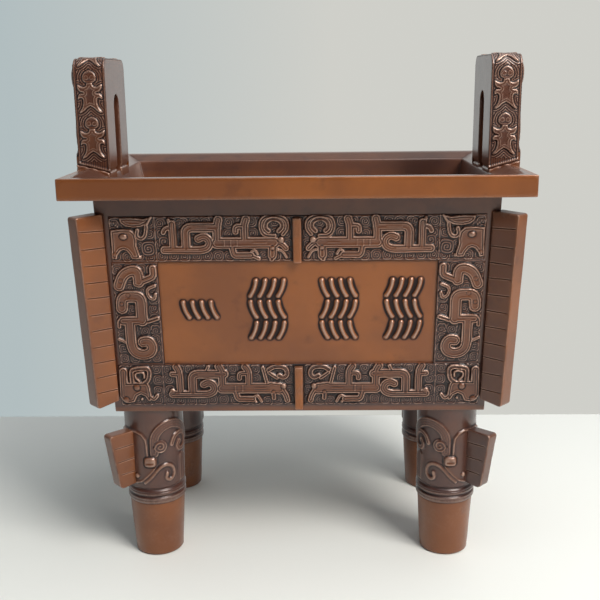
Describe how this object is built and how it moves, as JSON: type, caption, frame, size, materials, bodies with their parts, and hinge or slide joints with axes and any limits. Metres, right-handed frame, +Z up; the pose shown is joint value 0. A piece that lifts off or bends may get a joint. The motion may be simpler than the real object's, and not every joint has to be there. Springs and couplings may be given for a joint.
{
  "type": "square bronze ding",
  "caption": "Rectangular four-legged bronze ritual vessel, hollow and open on top, with two upright slotted ears, corner flanges, relief dragon bands and masked round legs",
  "frame": {"origin": "middle of the footprint, on the floor under the four feet", "axes": "+Z up, the ears stand at the two ends of X, the front field with the strokes faces -Y"},
  "size_m": [0.3688, 0.236, 0.421],
  "materials": {
    "bronze": "satin brown patina, darker in the recesses and rubbed pale on raised edges"
  },
  "bodies": {
    "root": {"square_ding": "bronze"}
  },
  "joints": []
}
